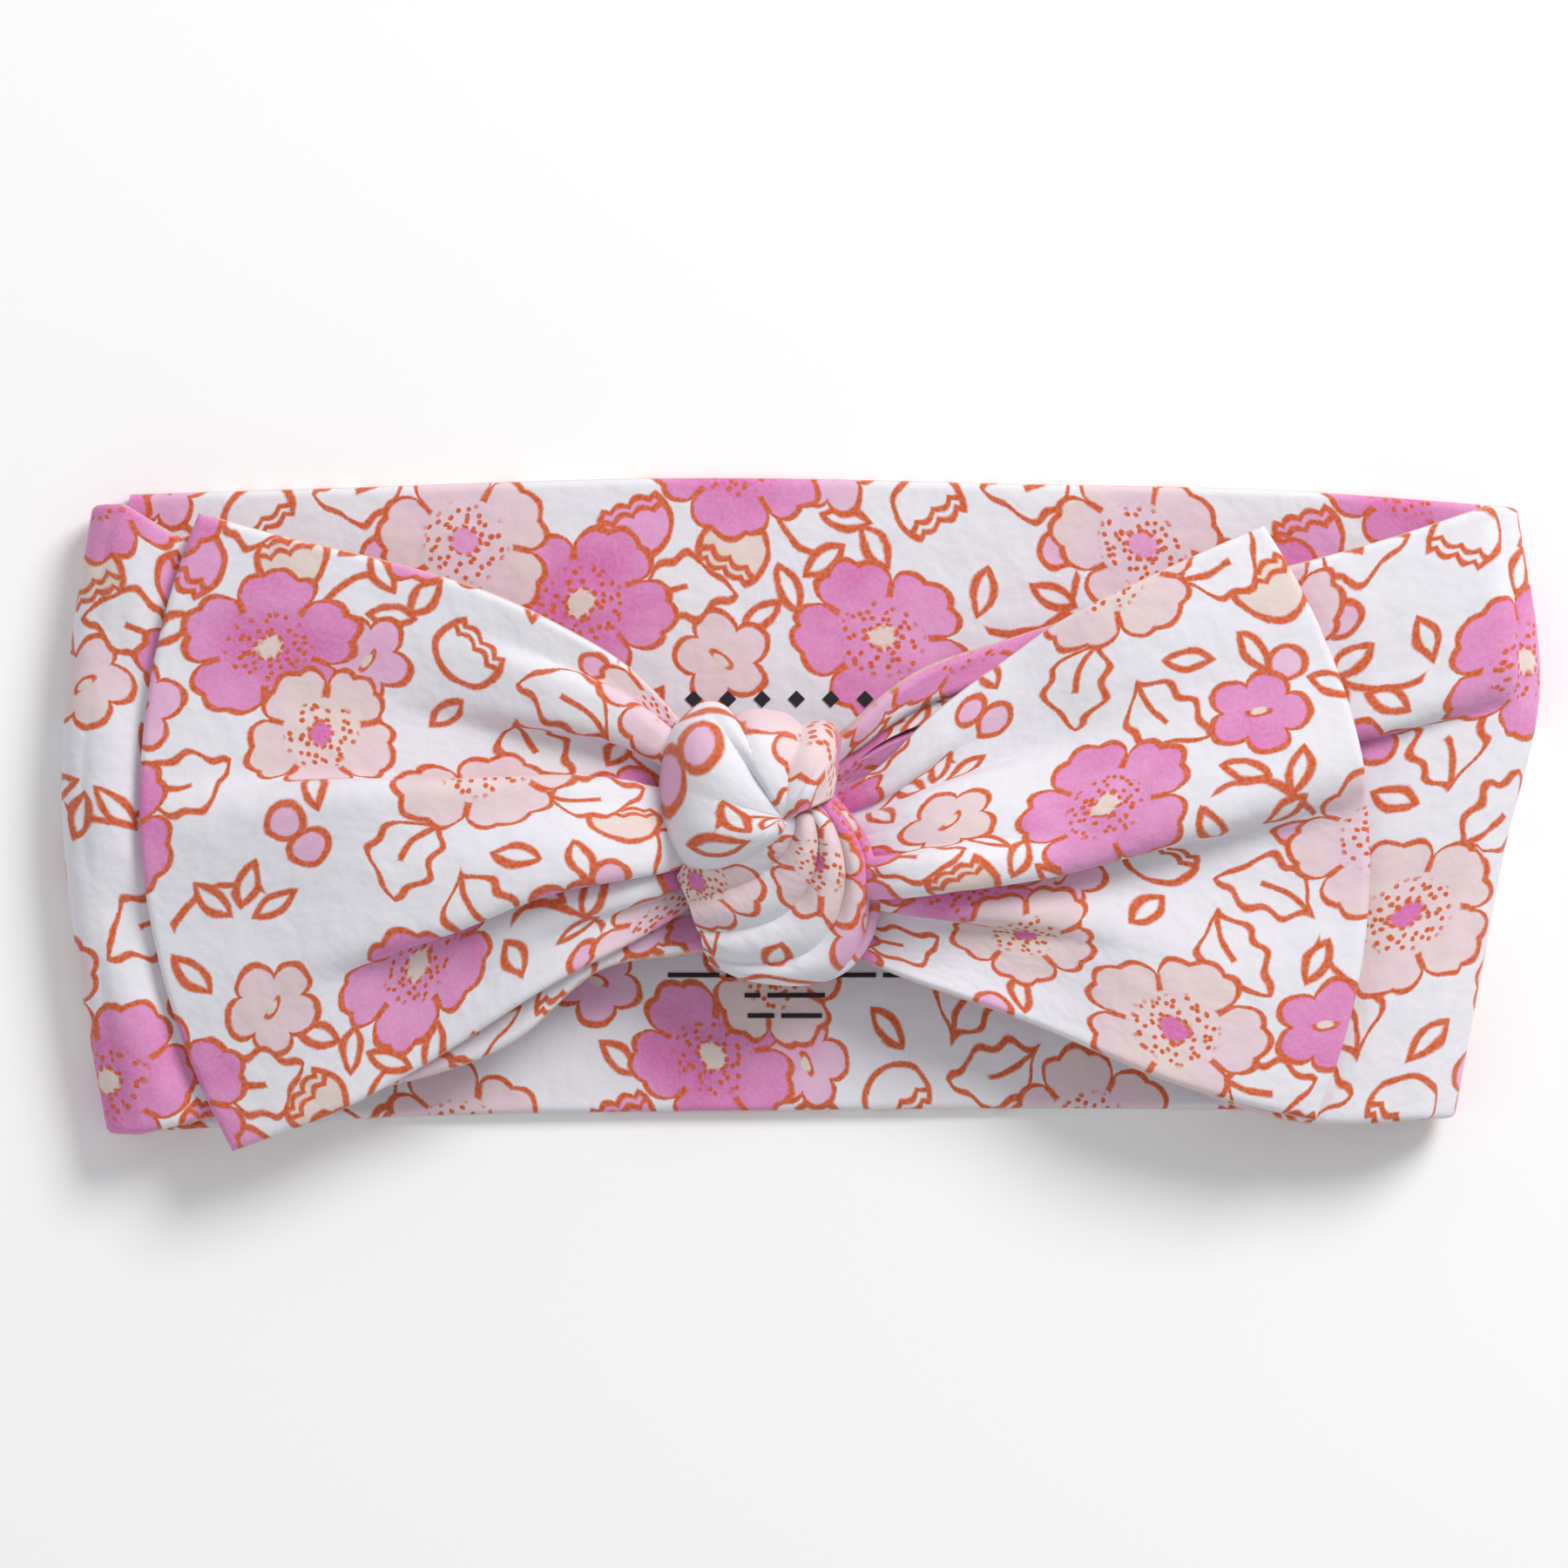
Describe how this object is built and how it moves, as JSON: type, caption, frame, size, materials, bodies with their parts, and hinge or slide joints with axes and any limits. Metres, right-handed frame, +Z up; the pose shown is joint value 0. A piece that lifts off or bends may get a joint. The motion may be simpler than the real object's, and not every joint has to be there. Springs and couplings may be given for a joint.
{
  "type": "knotted headband",
  "caption": "Soft floral knit headband, laid flat: a doubled fabric loop tied in front in a square knot with two wide pleated wings that lift.",
  "frame": {"origin": "under the middle of the whole headband's bounding box, on the surface that the back panel lies on", "axes": "+X along the band, +Y to the band's upper edge in the plane it lies in, +Z up out of the back panel towards the knot"},
  "size_m": [0.1891, 0.086, 0.0253],
  "materials": {
    "printed_knit": "brushed double-knit with a soft nap, white with a floral print in pinks, cream and orange outlines",
    "seam_thread": "fine polyester sewing thread, pale tan",
    "print_ink": "flat black heat-transfer ink, with no lettering"
  },
  "bodies": {
    "back_band": {"back_outer_ply": "printed_knit", "back_inner_ply": "printed_knit", "back_seam_thread": "seam_thread", "care_print": "print_ink", "left_fold_outer_ply": "printed_knit", "left_fold_inner_ply": "printed_knit", "right_fold_outer_ply": "printed_knit", "right_fold_inner_ply": "printed_knit"},
    "front_band": {"left_front_inner_ply": "printed_knit", "left_front_outer_ply": "printed_knit", "left_front_seam_thread": "seam_thread", "right_front_inner_ply": "printed_knit", "right_front_outer_ply": "printed_knit", "right_front_seam_thread": "seam_thread", "knot_core": "printed_knit", "knot_upper_strand": "printed_knit", "knot_lower_strand": "printed_knit"},
    "left_wing": {"left_wing_back_ply": "printed_knit", "left_wing_front_ply": "printed_knit", "left_wing_seam_thread": "seam_thread", "left_wing_end_thread": "seam_thread"},
    "right_wing": {"right_wing_back_ply": "printed_knit", "right_wing_front_ply": "printed_knit", "right_wing_seam_thread": "seam_thread", "right_wing_end_thread": "seam_thread"}
  },
  "joints": [
    {"name": "band_open", "type": "slide", "parent": "back_band", "child": "front_band", "axis": [0, 0, 1], "range_m": [0, 0.02], "deforming": ["left_fold_outer_ply", "left_fold_inner_ply", "right_fold_outer_ply", "right_fold_inner_ply"]},
    {"name": "left_wing_flap", "type": "hinge", "parent": "front_band", "child": "left_wing", "pos_m": [-0.0179, 0, 0.0192], "axis": [0, 1, 0], "range_deg": [0, 75]},
    {"name": "right_wing_flap", "type": "hinge", "parent": "front_band", "child": "right_wing", "pos_m": [0.0098, 0, 0.0192], "axis": [0, -1, 0], "range_deg": [0, 75]}
  ]
}
